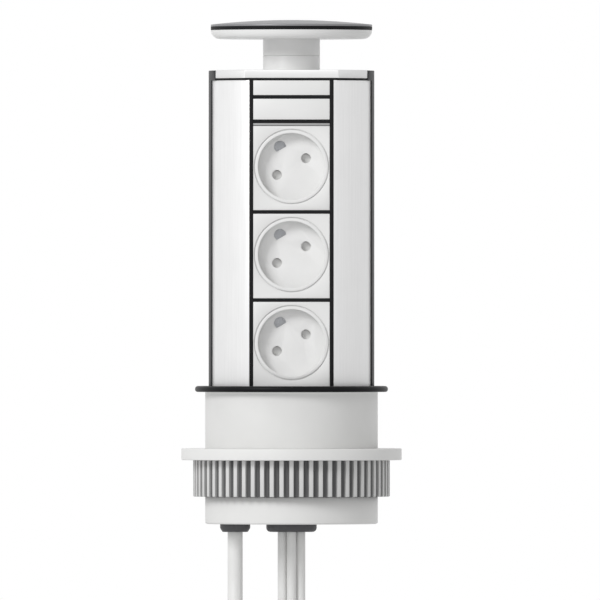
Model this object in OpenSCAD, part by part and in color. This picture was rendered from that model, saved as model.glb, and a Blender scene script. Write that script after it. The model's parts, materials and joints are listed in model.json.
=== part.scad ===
// Pop up desk socket: a round power tower that rises through a sleeve clamped in a desk.
// Millimetres, +Z up. The origin is the centre of the flange's underside, on the desk top.
// The sockets face -Y. The tower is drawn raised, with its lid popped up.

/* [Tower] */
// Wall of the profile
tower_wall = 2; // [1.6:0.1:2.6]
// Width of the open channel in the front of the profile
channel_w = 48; // [46:0.5:50]
// Depth of the walls beside the channel
channel_leg = 19; // [14:1:22]
// Height of the lowest socket face above the desk top
stack_base = 3.2; // [1:0.1:20]
// Arc of each dark glide strip, in degrees
glide_arc = 37; // [20:1:44]
// Depth of the groove that holds a glide strip
glide_groove = 0.9; // [0.5:0.1:1.2]
// How far the tower comes down when it is pushed in
tower_travel = 191; // [150:1:200]

/* [Top cap and lid] */
// Diameter of the top cap
cap_d = 94; // [90:0.5:99]
// How far the top cap stands out past the aluminium profile
cap_lip = 0.5; // [0:0.1:2]
// Thickness of the top cap
cap_t = 4.7; // [3.5:0.1:8]
// Thickness of the black seal under the top cap
cap_seal_t = 1.2; // [0.6:0.1:3]
// Half the width of the flat on the front of the top cap
cap_flat_x = 26.7; // [25:0.1:30]
// Diameter of the lid
lid_d = 92; // [84:0.5:94]
// Height of the lid's white dish
dish_h = 5; // [4:0.1:9]
// Corner radius under the dish
dish_r = 4.6; // [2:0.1:5]
// Height of the lid's black gasket
lid_gasket_h = 2; // [0.8:0.1:3]
// Height of the straight rim of the lid's top
lid_rim_h = 1.2; // [0.8:0.1:3]
// Rise of the lid's domed top above its rim
lid_dome_h = 2.6; // [1:0.1:6]
// Diameter of the neck that carries the lid
neck_d = 32.5; // [28:0.5:36]
// Wall of the neck
neck_wall = 2.6; // [2:0.1:4]
// Length of the neck that shows under the lid
neck_show = 17.9; // [14:0.1:20]
// Length of the upper neck collar
collar_h = 9.6; // [6:0.1:12]
// How far the lid is pressed down into its latch
lid_travel = 17.5; // [8:0.1:17.5]

/* [Sockets and panels] */
// Width of the white faces
face_w = 43.4; // [42.6:0.1:44]
// Height of one socket face
face_h = 48.2; // [46:0.1:52]
// Height of the black bar between two faces
bar_h = 1.9; // [1.5:0.1:3]
// Height of the grey strip above the top socket
strip_h = 1.4; // [0.8:0.1:3]
// Height of the bare name panel
name_h = 12; // [8:0.5:16]
// Height of the blank panel at the top
blank_h = 8.6; // [6:0.1:14]
// How far the white faces stand proud of the black carrier
face_proud = 0.2; // [0.1:0.1:0.5]
// Diameter of the ring drawn round a socket
ring_d = 42.8; // [41.6:0.1:42.8]
// Diameter of the round recess of a socket
recess_d = 38.1; // [36:0.1:39]
// Depth of the recess
recess_h = 8; // [6:0.5:9]
// Thickness of the recess floor
floor_t = 3.6; // [3:0.1:5]
// Distance between the two live holes
pin_span = 19; // [18.5:0.1:19.5]
// Diameter of a live hole
pin_hole_d = 5.5; // [5.1:0.1:6]
// Distance from the centre of the socket to the half-round earth hole
earth_off = 13; // [12:0.1:13.5]
// Radius of the round side of the earth hole
earth_r = 3.4; // [3:0.1:3.6]
// Distance from the middle of that round to its flat side
earth_flat = 1.6; // [1.2:0.1:2]
// Turn of the holes about the middle of the socket, in degrees
socket_turn = 30; // [28:1:32]
// Height of the socket's middle above the middle of its face
socket_rise = 0.8; // [0:0.1:1]
// Travel of the child-safety shutter
shutter_travel = 6.5; // [6.3:0.1:7]

/* [Sleeve, ring and nut] */
// Width of the flange on the desk top, past the sleeve
flange_w = 5.8; // [3:0.1:10]
// Thickness of the flange
flange_t = 3.4; // [2.6:0.1:5]
// Wall of the sleeve
sleeve_wall = 1.7; // [1.4:0.1:2.2]
// Depth of the sleeve below the desk top
sleeve_len = 59.6; // [56:0.1:90]
// Diameter of the clamp ring
ring_out_d = 125.6; // [118:0.2:136]
// Thickness of the clamp ring
ring_t = 6.6; // [4:0.1:9]
// Wall of the nut from the sleeve to the tops of its ribs
nut_wall = 6.65; // [4:0.05:9]
// Height of the nut
nut_h = 20.8; // [14:0.1:22]
// Number of flutes round the nut
nut_flutes = 62; // [48:1:66]
// Radius of one flute
flute_r = 1.7; // [1.2:0.1:1.9]
// Depth of one flute
flute_depth = 2; // [1:0.1:2.4]
// Travel of the ring and nut up the sleeve
clamp_travel = 22; // [5:0.5:22]

/* [End cap, glands and leads] */
// Height of the end cap under the tower
end_cap_h = 15.4; // [12:0.1:24]
// Thickness of the end cap's floor
end_floor = 3; // [2:0.1:5]
// Distance of the mains gland from the tower's axis
mains_x = 32.1; // [28:0.1:34]
// Diameter of the mains gland
mains_gland_d = 17.2; // [14:0.1:19]
// Length of the gland for the three thin leads
data_gland_w = 28.8; // [24:0.1:32]
// Height of both glands
gland_h = 4.6; // [3:0.1:8]
// Diameter of the mains lead
mains_lead_d = 8.6; // [8:0.1:8.6]
// Diameter of each thin lead
data_lead_d = 5.5; // [5:0.1:5.5]

/* [Hidden] */
$fn = 96;
eps = 0.01;

// Clearances
cap_gap = 0.5;
glide_gap = 0.3;
ring_gap = 0.3;
fit_gap = 0.1;
stop_gap = 0.2;
slide_gap = 0.25;

// Heights of the stack of faces, worked out upwards from the desk top
socket_count = 3;
pitch = face_h + bar_h;
face_z = [for (i = [0:socket_count - 1]) stack_base + face_h / 2 + (socket_count - 1 - i) * pitch];
socket_z = [for (z = face_z) z + socket_rise];
strip_z = face_z[0] + face_h / 2;
name_z = strip_z + strip_h + bar_h;
blank_z = name_z + name_h + bar_h;
seal_z = blank_z + blank_h;
cap_z = seal_z + cap_seal_t;
cap_top = cap_z + cap_t;
collar_z = cap_top + neck_show - collar_h;
dish_z = cap_top + neck_show;
lid_gasket_z = dish_z + dish_h;
lid_top_z = lid_gasket_z + lid_gasket_h;

// Radii
cap_r = cap_d / 2;
tower_r = cap_r - cap_lip;
bore_r = cap_r + cap_gap;
sleeve_r = bore_r + sleeve_wall;
flange_r = sleeve_r + flange_w;
glide_r = bore_r - glide_gap;
neck_r = neck_d / 2;
neck_in = neck_r - neck_wall;
recess_r = recess_d / 2;
ring_r = ring_d / 2;

// Depths, measured along Y from the tower's axis: the channel's front edges lie on the round
leg_t = 2;
leg_x = channel_w / 2;
channel_y = -sqrt(tower_r * tower_r - leg_x * leg_x);
face_y = channel_y + 0.2;
carrier_y = face_y + face_proud;
lip_t = 1;
shoulder_y = carrier_y + lip_t + fit_gap;
shoulder_t = 2.2;
carrier_back = channel_y + channel_leg - 0.6;
recess_y = face_y + recess_h;
floor_back = recess_y + floor_t;
housing_back = floor_back + 20;
rail_t = 0.8;

// End of the tower
end_floor_z = -sleeve_len - stop_gap - end_cap_h;
tower_z = end_floor_z + end_floor;
gland_z = end_floor_z - gland_h;

// Screws: four ports at each end of the profile
port_r = tower_r - tower_wall - 3;
port_out = 3.3;
port_in = 1.55;
port_angles = [-38, 62, 118, 218];

// The lid's latch inside the neck
cup_in = neck_r + 1.9;
cup_wall = 1.8;
cup_floor = 1.6;
cup_depth = 26.4;
cup_z = cap_z - cup_depth;
post_h = 9;
stem_lip = 1.4;
stem_lip_h = 2;
stem_z = cup_z + cup_floor + lid_travel + 1;
guide_z = stem_z + stem_lip_h + stop_gap;

// Keys that stop the clamp ring from turning
key_w = 6;
key_h = 0.7;
key_angles = [60, 120];

// Places round a flange or a sleeve
flange_edge_r = flange_t / 2 - 0.1;
rebate_r = sleeve_r + 2;
nut_in = sleeve_r + slide_gap;
nut_r = nut_in + nut_wall;
rebate_h = 1.5;
ring_z = -sleeve_len + nut_h;

// A disc or a tube standing on z
module tube(r_out, r_in, z, h) {
    translate([0, 0, z]) difference() {
        cylinder(r = r_out, h = h);
        translate([0, 0, -eps]) cylinder(r = r_in, h = h + 2 * eps);
    }
}

// A box given by its corners
module box(low, high) {
    translate(low) cube(high - low);
}

// A cylinder along +Y from y0 to y1 at x and z
module rod_y(x, z, y0, y1, r) {
    translate([x, y0, z]) rotate([-90, 0, 0]) cylinder(r = r, h = y1 - y0);
}

// A flat sector of a ring, centred on an angle
module sector(r_in, r_out, mid, arc) {
    far = r_out * 1.5;
    intersection() {
        difference() {
            circle(r = r_out);
            circle(r = r_in);
        }
        polygon([
            [0, 0],
            [far * cos(mid - arc / 2), far * sin(mid - arc / 2)],
            [far * cos(mid) * 1.1, far * sin(mid) * 1.1],
            [far * cos(mid + arc / 2), far * sin(mid + arc / 2)]
        ]);
    }
}

// The flange: a thin black ring with a rounded rim, on the desk top
module flange_ring() color("#1c1c1e") {
    rotate_extrude() difference() {
        union() {
            translate([bore_r, 0]) square([flange_r - flange_edge_r - bore_r, flange_t]);
            translate([flange_r - flange_edge_r, flange_t / 2]) circle(r = flange_edge_r);
            translate([flange_r - flange_edge_r - 0.2, 0.1]) square([0.3, flange_t - 0.2]);
        }
        translate([bore_r - 1, -1]) square([rebate_r + fit_gap - bore_r + 1, rebate_h + 1]);
    }
}

// The sleeve that passes through the desk, with a lip under the flange and two keyways at the back
module sleeve() color("#f2f2ef") {
    difference() {
        union() {
            tube(sleeve_r, bore_r, -sleeve_len, sleeve_len + rebate_h - fit_gap);
            tube(rebate_r, bore_r, 0, rebate_h - fit_gap);
        }
        for (a = key_angles) rotate([0, 0, a])
            box([sleeve_r - key_h, -key_w / 2, -sleeve_len - 1], [sleeve_r + 1, key_w / 2, -6]);
    }
}

// The loose white ring that is pressed against the underside of the desk
module clamp_ring() color("#f4f4f2") {
    edge = 0.6;
    rotate_extrude() polygon([
        [sleeve_r + ring_gap, ring_z], [ring_out_d / 2 - edge, ring_z],
        [ring_out_d / 2, ring_z + edge], [ring_out_d / 2, ring_z + ring_t - edge],
        [ring_out_d / 2 - edge, ring_z + ring_t], [sleeve_r + ring_gap, ring_z + ring_t]
    ]);
    for (a = key_angles) rotate([0, 0, a])
        box([sleeve_r - key_h + fit_gap, -key_w / 2 + 0.3, ring_z],
            [sleeve_r + ring_gap + 1, key_w / 2 - 0.3, ring_z + ring_t]);
}

// The nut: its grip is a row of rounded flutes, cut between two plain chamfers
module clamp_nut() color("#d9d9d6") {
    edge = 0.6;
    thread_edge = 1;
    difference() {
        rotate_extrude() polygon([
            [nut_in, -sleeve_len + thread_edge], [nut_in + thread_edge, -sleeve_len],
            [nut_r - edge, -sleeve_len], [nut_r, -sleeve_len + edge],
            [nut_r, ring_z - edge], [nut_r - edge, ring_z],
            [nut_in + thread_edge, ring_z], [nut_in, ring_z - thread_edge]
        ]);
        for (i = [0:nut_flutes - 1]) rotate([0, 0, (i + 0.5) * 360 / nut_flutes])
            translate([nut_r + flute_r - flute_depth, 0, -sleeve_len - 1])
                cylinder(r = flute_r, h = nut_h + 2);
    }
}

// Section of the profile: a round wall open at the front, two legs beside the channel,
// four screw ports and a shallow groove at each side for a glide strip
module profile_section() {
    difference() {
        union() {
            difference() {
                circle(r = tower_r);
                circle(r = tower_r - tower_wall);
            }
            for (s = [-1, 1]) translate([s * (leg_x + leg_t / 2), channel_y + channel_leg / 2])
                square([leg_t, channel_leg], center = true);
            for (a = port_angles) translate([port_r * cos(a), port_r * sin(a)]) circle(r = port_out);
        }
        translate([-leg_x, -tower_r - 1]) square([channel_w, tower_r + 1 + channel_y + channel_leg]);
        difference() {
            translate([-tower_r, -2 * tower_r]) square(2 * tower_r);
            circle(r = tower_r);
        }
        for (a = port_angles) translate([port_r * cos(a), port_r * sin(a)]) circle(r = port_in);
        for (a = [0, 180]) sector(tower_r - glide_groove, tower_r + 1, a, glide_arc + 1);
    }
}

// The aluminium profile of the tower
module tower_profile() color("#e9e9e7") {
    translate([0, 0, tower_z]) linear_extrude(seal_z - tower_z) profile_section();
}

// Two dark strips that run in the sleeve, with a wider head beside the top cap
module glide_strips() color("#2a2a2c") {
    for (a = [0, 180]) {
        translate([0, 0, -sleeve_len]) linear_extrude(seal_z + sleeve_len)
            sector(tower_r - glide_groove + fit_gap, glide_r, a, glide_arc);
        translate([0, 0, seal_z]) linear_extrude(cap_top - seal_z - 0.2)
            sector(head_r, glide_r, a, head_arc - 1);
    }
}
head_r = tower_r - 2.4;
head_arc = 46;

// Outline of the top cap and its seal: a disc with a flat front and two notches for the strips
module cap_outline(r) {
    flat_y = -sqrt(cap_r * cap_r - cap_flat_x * cap_flat_x);
    difference() {
        circle(r = r);
        translate([-cap_r - 1, flat_y - cap_d]) square([cap_d + 2, cap_d]);
        for (a = [0, 180]) sector(head_r - fit_gap, cap_r + 1, a, head_arc);
    }
}

// Black seal between the profile and the top cap
module cap_seal() color("#151517") {
    translate([0, 0, seal_z]) linear_extrude(cap_seal_t) difference() {
        cap_outline(cap_r - 0.3);
        circle(r = cup_in + cup_wall + fit_gap);
        for (a = port_angles) translate([port_r * cos(a), port_r * sin(a)]) circle(r = port_in + 0.3);
    }
}

// Round plate over the top of the tower, bored for the neck
module top_cap() color("#ececea") {
    difference() {
        translate([0, 0, cap_z]) linear_extrude(cap_t) cap_outline(cap_r);
        translate([0, 0, cap_z - 1]) cylinder(r = neck_r + slide_gap, h = cap_t + 2);
        for (a = port_angles) translate([port_r * cos(a), port_r * sin(a), 0]) {
            translate([0, 0, cap_z - 1]) cylinder(r = port_in + 0.3, h = cap_t + 2);
            translate([0, 0, cap_top - screw_head_h - 0.2]) cylinder(r = screw_head_r + 0.2, h = 5);
        }
    }
}
screw_head_r = 2.9;
screw_head_h = 2;
screw_len = 12;

// One pan-head screw standing head up, its head's top at z = 0, with a cross recess
module cap_screw() {
    difference() {
        union() {
            translate([0, 0, -screw_head_h]) cylinder(r = screw_head_r, h = screw_head_h);
            translate([0, 0, -screw_head_h - screw_len]) cylinder(r = port_in, h = screw_len + eps);
        }
        for (a = [0, 90]) rotate([0, 0, a]) translate([-1.6, -0.35, -1.1]) cube([3.2, 0.7, 2]);
    }
}

// Eight identical screws: four through the top cap and four through the end cap
module cap_screws() color("#b9bcc0") {
    for (a = port_angles) {
        translate([port_r * cos(a), port_r * sin(a), cap_top - 0.2]) cap_screw();
        translate([port_r * cos(a), port_r * sin(a), end_floor_z + 0.2]) mirror([0, 0, 1]) cap_screw();
    }
}

// Bush under the top cap that guides the neck and stops its lip
module stem_guide() color("#3a3a3c") {
    tube(cup_in - fit_gap, neck_r + slide_gap, guide_z, cap_z - guide_z);
}

// Cup that hangs under the top cap: it holds the latch and its spring
module latch_cup() color("#3a3a3c") {
    post_r = 5;
    difference() {
        union() {
            tube(cup_in + cup_wall, cup_in, cup_z, cap_z - cup_z);
            translate([0, 0, cup_z]) cylinder(r = cup_in + cup_wall, h = cup_floor);
            translate([0, 0, cup_z]) cylinder(r = post_r, h = cup_floor + post_h);
        }
        translate([0, 0, cup_z + cup_floor]) cylinder(r = striker_r + 0.3, h = 20);
    }
}
striker_r = 2.4;

// Black frame that holds the faces: two side rails, front lips and a bar between each two faces
module module_carrier() color("#121214") {
    out_x = leg_x - fit_gap;
    windows = [
        for (z = face_z) [z - face_h / 2, z + face_h / 2 + (z == face_z[0] ? strip_h : 0)],
        [name_z, name_z + name_h], [blank_z, seal_z + 1]
    ];
    difference() {
        box([-out_x, carrier_y, stack_base - bar_h], [out_x, carrier_back, seal_z - fit_gap]);
        for (w = windows) {
            box([-face_w / 2 - fit_gap, carrier_y - 1, w[0]], [face_w / 2 + fit_gap, carrier_back + 1, w[1]]);
            box([-out_x + rail_t, carrier_y + lip_t, w[0]], [out_x - rail_t, carrier_back + 1, w[1]]);
        }
    }
}

// A panel with shoulders that seat behind the carrier's lips
module panel(z, h) {
    g = fit_gap;
    box([-face_w / 2, face_y, z + g], [face_w / 2, shoulder_y + shoulder_t, z + h - g]);
    box([-leg_x + g + rail_t + g, shoulder_y, z + g], [leg_x - g - rail_t - g, shoulder_y + shoulder_t, z + h - g]);
}

// Blank panel at the top of the stack
module blank_panel() color("#f6f6f4") panel(blank_z, blank_h - fit_gap);

// Name panel, left bare
module name_panel() color("#f6f6f4") panel(name_z, name_h);

// Narrow grey strip that closes the window above the top socket
module grey_strip() color("#a9a9a7") panel(strip_z - fit_gap, strip_h + fit_gap);

// White plate that closes the channel below the sockets, inside the sleeve
module lower_panel() color("#f0f0ee") {
    out_x = leg_x - fit_gap;
    depth = 8;
    difference() {
        box([-out_x, carrier_y, tower_z], [out_x, carrier_y + depth, stack_base - bar_h - fit_gap]);
        box([-out_x + 1.8, carrier_y + 1.8, tower_z - 1], [out_x - 1.8, carrier_y + depth + 1, stack_base]);
    }
}

// Place of a hole on a socket, from its distance along and across the line of the live holes
function hole_at(i, along, across) = [
    along * cos(socket_turn) - across * sin(socket_turn),
    socket_z[i] + along * sin(socket_turn) + across * cos(socket_turn)
];

// The half-round earth hole or contact, grown by g, along +Y from y0 to y1 on socket i
module earth_form(i, y0, y1, g) {
    c = hole_at(i, 0, earth_off);
    translate([c[0], y1, c[1]]) rotate([90, 0, 0]) rotate([0, 0, socket_turn]) linear_extrude(y1 - y0)
        difference() {
            circle(r = earth_r + g);
            translate([-10, -earth_flat - g - 20]) square([20, 20]);
        }
}

// White socket face: a square plate with shoulders, a ring groove and the wall of a deep round recess
module socket_front(i) color("#f8f8f6") {
    g = fit_gap;
    z0 = face_z[i] - face_h / 2;
    groove_w = 0.6;
    groove_h = 1.2;
    difference() {
        union() {
            panel(z0, face_h - (i == 0 ? 2 * g : 0));
            rod_y(0, socket_z[i], face_y + eps, recess_y - eps, ring_r - 1);
        }
        rod_y(0, socket_z[i], face_y - 1, recess_y + 1, recess_r);
        difference() {
            rod_y(0, socket_z[i], face_y - 1, face_y + groove_h, ring_r);
            rod_y(0, socket_z[i], face_y - 2, face_y + groove_h + 1, ring_r - groove_w);
        }
    }
}

// Pin plate: the round floor of a recess, with two live holes and the half-round earth hole
module socket_floor(i) color("#f8f8f6") {
    difference() {
        rod_y(0, socket_z[i], recess_y, floor_back, ring_r - 1);
        for (s = [-1, 1]) {
            p = hole_at(i, s * pin_span / 2, 0);
            rod_y(p[0], p[1], recess_y - 1, floor_back + 1, pin_hole_d / 2);
        }
        earth_form(i, recess_y - 1, floor_back + 1, 0);
    }
}

// The shutter: a stepped plate that covers both live holes until it is pushed down
shutter_t = 2;
shutter_y = floor_back + 0.3;
shutter_half = 13;
shutter_split = 2;
shutter_over = 0.8;
shutter_low = -pin_span / 2 * sin(socket_turn) - pin_hole_d / 2 - shutter_over;
pocket_y = floor_back + shutter_t + 0.6;
pocket_low = shutter_low - shutter_travel - 3.6;
pocket_high = -shutter_low + 0.4;
housing_half_w = 21;
housing_half_h = 22.5;
sleeve_out = 3.5;
sleeve_in = 2.45;
contact_y = pocket_y + 0.3;

// Box behind a socket face, with the shutter's pocket and the contacts' chambers
module socket_housing(i) color("#dcdcda") {
    z = socket_z[i];
    difference() {
        box([-housing_half_w, floor_back, face_z[i] - housing_half_h],
            [housing_half_w, housing_back, face_z[i] + housing_half_h]);
        box([-shutter_half - 0.3, floor_back - 1, z + pocket_low], [shutter_half + 0.3, pocket_y, z + pocket_high]);
        for (s = [-1, 1]) {
            p = hole_at(i, s * pin_span / 2, 0);
            rod_y(p[0], p[1], pocket_y - 1, housing_back + 1, sleeve_out + fit_gap);
        }
        earth_form(i, floor_back - 1, housing_back + 1, contact_wall + fit_gap);
    }
}
contact_wall = 0.8;

// One step of the shutter: its top edge is bevelled where the pin pushes it
module shutter_step(x0, x1, z0, z1) {
    bevel = 1.2;
    translate([x0, 0, 0]) rotate([90, 0, 90]) linear_extrude(x1 - x0) polygon([
        [shutter_y, z0], [shutter_y + shutter_t, z0], [shutter_y + shutter_t, z1],
        [shutter_y + bevel, z1], [shutter_y, z1 - bevel]
    ]);
}

// Child-safety shutter behind the live holes of socket i
module shutter(i) color("#e8e8e4") {
    z = socket_z[i];
    left_top = -pin_span / 2 * sin(socket_turn) + pin_hole_d / 2 + shutter_over;
    shutter_step(-shutter_half, shutter_half, z + shutter_low, z + left_top);
    shutter_step(shutter_split, shutter_half, z + shutter_low, z - shutter_low);
}

// Bowed leaf spring that holds the shutter of socket i up
module shutter_spring(i) color("#c9ccd0") {
    leaf_t = 0.4;
    leaf_w = 1.6;
    free_h = shutter_low - pocket_low;
    half = shutter_half - 1.5;
    bow_r = (half * half + free_h * free_h) / (2 * free_h);
    translate([0, shutter_y + 0.2, socket_z[i] + pocket_low]) rotate([90, 0, 0]) translate([0, 0, -leaf_w])
        linear_extrude(leaf_w) intersection() {
            translate([0, free_h - 0.1 - bow_r]) difference() {
                circle(r = bow_r);
                circle(r = bow_r - leaf_t);
            }
            translate([-half, 0.05]) square([2 * half, free_h]);
        }
}

// Six brass sleeves, one behind each live hole, split along one side
module live_contacts() color("#c9a75c") {
    for (i = [0:socket_count - 1]) for (s = [-1, 1]) {
        p = hole_at(i, s * pin_span / 2, 0);
        difference() {
            rod_y(p[0], p[1], contact_y, housing_back, sleeve_out);
            rod_y(p[0], p[1], contact_y - 1, housing_back - 1, sleeve_in);
            box([p[0] - 0.4, contact_y - 1, p[1] + 1], [p[0] + 0.4, contact_y + 10, p[1] + sleeve_out + 1]);
        }
    }
}

// Three half-round earth contacts, each with a tail back to the earth bar
module earth_contacts() color("#c9a75c") {
    for (i = [0:socket_count - 1]) {
        c = hole_at(i, 0, earth_off);
        difference() {
            earth_form(i, floor_back + 0.3, housing_back, contact_wall);
            earth_form(i, floor_back - 1, housing_back - 1, 0);
        }
        box([earth_tail_x, housing_back, c[1] - 2], [earth_tail_x + 1.4, earth_bar_y, c[1] + 2]);
    }
}
bar_w = 4;
bar_t = 1.2;
live_x = pin_span / 2 * cos(socket_turn);
earth_tail_x = -live_x + bar_w / 2 + 0.8;
earth_bar_y = housing_back + 2.4;
bar_low = -12;

// Three copper bars that feed the sockets: neutral, live and, one layer further back, earth
module busbars() color("#b87a4a") {
    for (s = [-1, 1]) box([s * live_x - bar_w / 2, housing_back, bar_low],
        [s * live_x + bar_w / 2, housing_back + bar_t, socket_z[0] + s * pin_span / 2 * sin(socket_turn) + 3]);
    box([earth_tail_x - 1, earth_bar_y, bar_low],
        [earth_tail_x + 3, earth_bar_y + bar_t, socket_z[0] + earth_off * cos(socket_turn) + 3]);
}

// Terminal block at the foot of the bars
terminal_low = -24;
terminal_high = -6;
terminal_y = housing_back - 3;
terminal_back = earth_bar_y + bar_t + 5;
inner_end = [0, (terminal_y + terminal_back) / 2];
module terminal_block() color("#e6e2d8") {
    difference() {
        box([-16, terminal_y, terminal_low], [16, terminal_back, terminal_high]);
        for (s = [-1, 1]) box([s * live_x - bar_w / 2 - fit_gap, housing_back - fit_gap, bar_low],
            [s * live_x + bar_w / 2 + fit_gap, housing_back + bar_t + fit_gap, terminal_high + 1]);
        box([earth_tail_x - 1 - fit_gap, earth_bar_y - fit_gap, bar_low],
            [earth_tail_x + 3 + fit_gap, earth_bar_y + bar_t + fit_gap, terminal_high + 1]);
        for (s = [-1, 1]) rod_y(s * 12, (terminal_low + terminal_high) / 2, terminal_y - 1, terminal_y + 6, 1.6);
    }
}

// Points, tangents and rings of a tube swept along a path
function unit(v) = v / norm(v);
function tangent(path, k) = unit(
    path[min(k + 1, len(path) - 1)] - path[max(k - 1, 0)]
);
function ring(path, k, side, r, sides, turn) =
    let (t = tangent(path, k), a = unit(side - (side * t) * t), b = cross(t, a))
    [for (j = [0:sides - 1]) path[k] + r * (cos(turn + j * 360 / sides) * a + sin(turn + j * 360 / sides) * b)];

// A closed tube of the given diameter along a path; side is a direction that the path never takes
module sweep(path, d, sides, side, turn = 0) {
    n = len(path);
    points = [for (k = [0:n - 1]) each ring(path, k, side, d / 2, sides, turn)];
    walls = [
        for (k = [0:n - 2]) for (j = [0:sides - 1])
            let (a = k * sides + j, b = k * sides + (j + 1) % sides)
            each [[a, a + sides, b], [b, a + sides, b + sides]]
    ];
    polyhedron(
        points = points,
        faces = concat([[for (j = [0:sides - 1]) j]], walls,
            [[for (j = [sides - 1:-1:0]) (n - 1) * sides + j]]),
        convexity = 10
    );
}

// Middles of the three thin leads where they pass the gland, the middle one in front
data_pitch = 5.2;
data_front = -1.8;
data_rear = 1.3;
data_at = [for (s = [-1, 0, 1]) [s * data_pitch, s == 0 ? data_front : data_rear]];

// Mains lead inside the tower, from the gland up to the terminal block
module inner_mains_lead() {
    route = [
        [-mains_x, 0, gland_z], [-mains_x, 0, -70], [-mains_x, 0, -64], [-31, 0, -57], [-27, 0, -50],
        [-19, -1, -44], [-10, inner_end[1] + 2, -39.5], [-4, inner_end[1] + 0.6, -36], [-0.8, inner_end[1], -31],
        [0, inner_end[1], -27], [0, inner_end[1], terminal_low]
    ];
    sweep(route, mains_lead_d, 12, [0, 1, 0.1]);
}

// Three thin leads inside the tower, up the back of the wiring space to their block
data_back = 29;
data_block_low = 154;
inner_pitch = 9;
module inner_data_leads() {
    for (k = [0:2]) {
        p = data_at[k];
        x1 = (k - 1) * inner_pitch;
        route = [
            [p[0], p[1], gland_z], [p[0], p[1], -70], [p[0], p[1], -64], [p[0] + (x1 - p[0]) * 0.2, p[1] + 4, -54],
            [p[0] + (x1 - p[0]) * 0.8, data_back - 4, -34], [x1, data_back, -24], [x1, data_back, -18],
            [x1, data_back, data_block_low]
        ];
        sweep(route, data_lead_d, 8, [1, 0, 0]);
    }
}

module inner_leads() color("#f4f4f2") {
    inner_mains_lead();
    inner_data_leads();
}

// Block under the top cap where the three thin leads end
module data_block() color("#3b3b3e") {
    intersection() {
        box([-14, data_back - 6, data_block_low], [14, data_back + 6, seal_z]);
        difference() {
            cylinder(r = tower_r - tower_wall - fit_gap, h = seal_z + 1);
            cylinder(r = cup_in + cup_wall + fit_gap, h = seal_z + 1);
            for (a = port_angles) translate([port_r * cos(a), port_r * sin(a), 0])
                cylinder(r = port_out + 0.2, h = seal_z + 1);
        }
    }
}

// Cup-shaped cap on the tower's foot: its rim meets the sleeve and stops the tower
module end_cap() color("#f2f2ef") {
    edge = 0.8;
    difference() {
        rotate_extrude() polygon([
            [0, end_floor_z], [sleeve_r - edge, end_floor_z], [sleeve_r, end_floor_z + edge],
            [sleeve_r, end_floor_z + end_cap_h], [tower_r + stop_gap, end_floor_z + end_cap_h],
            [tower_r + stop_gap, tower_z], [0, tower_z]
        ]);
        translate([-mains_x, 0, end_floor_z - 1]) cylinder(r = gland_neck, h = end_cap_h);
        translate([0, 0, end_floor_z - 1]) linear_extrude(end_cap_h) oblong(data_gland_w - 6, gland_d2 - 5);
        for (a = port_angles) translate([port_r * cos(a), port_r * sin(a), end_floor_z - 1]) {
            cylinder(r = port_in + 0.3, h = end_floor + 2);
            cylinder(r = screw_head_r + 0.2, h = 1 + screw_head_h + 0.2);
        }
    }
}
gland_neck = mains_gland_d / 2 - 2;
gland_d2 = 17;

// An oblong with round ends, along X
module oblong(w, h) {
    square([w - h, h], center = true);
    for (s = [-1, 1]) translate([s * (w - h) / 2, 0]) circle(d = h);
}

// Round gland of the mains lead: a dark bevelled collar with a neck through the end cap's floor
module mains_gland() color("#4a4a4d") {
    bevel = 1.4;
    r = mains_gland_d / 2;
    translate([-mains_x, 0, 0]) rotate_extrude() polygon([
        [mains_lead_d / 2 + fit_gap, gland_z], [r - bevel, gland_z], [r, gland_z + bevel * 1.6],
        [r, end_floor_z], [gland_neck - fit_gap, end_floor_z], [gland_neck - fit_gap, tower_z + 3],
        [mains_lead_d / 2 + fit_gap, tower_z + 3]
    ]);
}

// Oblong gland of the three thin leads
module data_gland() color("#4a4a4d") {
    step = 1.2;
    difference() {
        union() {
            translate([0, 0, gland_z]) linear_extrude(step + eps) oblong(data_gland_w - 2 * step, gland_d2 - 2 * step);
            translate([0, 0, gland_z + step]) linear_extrude(gland_h - step) oblong(data_gland_w, gland_d2);
            translate([0, 0, end_floor_z - eps]) linear_extrude(end_floor + 2)
                oblong(data_gland_w - 6 - 2 * fit_gap, gland_d2 - 5 - 2 * fit_gap);
        }
        for (p = data_at) translate([p[0], p[1], gland_z - 1])
            cylinder(r = data_lead_d / 2 + fit_gap, h = gland_h + end_floor + 4);
    }
}

// Domed top of the lid, with a ring under it that sits in the dish
module lid_top() color("#8f9092") {
    lid_r = lid_d / 2;
    dome_r = (lid_r * lid_r + lid_dome_h * lid_dome_h) / (2 * lid_dome_h);
    rim_top = lid_top_z + lid_rim_h;
    rotate_extrude() intersection() {
        translate([0, rim_top + lid_dome_h - dome_r]) circle(r = dome_r, $fn = 1440);
        translate([0, lid_top_z]) square([lid_r, lid_rim_h + lid_dome_h + 1]);
    }
    tube(lid_ring_r, lid_ring_r - 2.4, dish_z + dish_floor + 0.1, lid_top_z - dish_z - dish_floor - 0.1 + eps);
}
dish_floor = 2.2;
dish_wall = 2.4;
lid_ring_r = lid_d / 2 - dish_wall - 0.8;

// Black gasket between the lid's top and its dish
module lid_gasket() color("#0e0e10") {
    tube(lid_d / 2, lid_ring_r + fit_gap, lid_gasket_z, lid_gasket_h);
}

// White dish under the lid, with a rounded lower edge
module lid_dish() color("#f8f8f6") {
    lid_r = lid_d / 2;
    rotate_extrude() difference() {
        intersection() {
            union() {
                translate([0, dish_z]) square([lid_r - dish_r, dish_h]);
                translate([lid_r - dish_r, dish_z + dish_r]) circle(r = dish_r);
                translate([0, dish_z + dish_r]) square([lid_r, dish_h - dish_r + eps]);
            }
            translate([0, dish_z]) square([lid_r, dish_h]);
        }
        translate([-1, dish_z + dish_floor]) square([lid_r - dish_wall + 1, dish_h]);
    }
}

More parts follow.
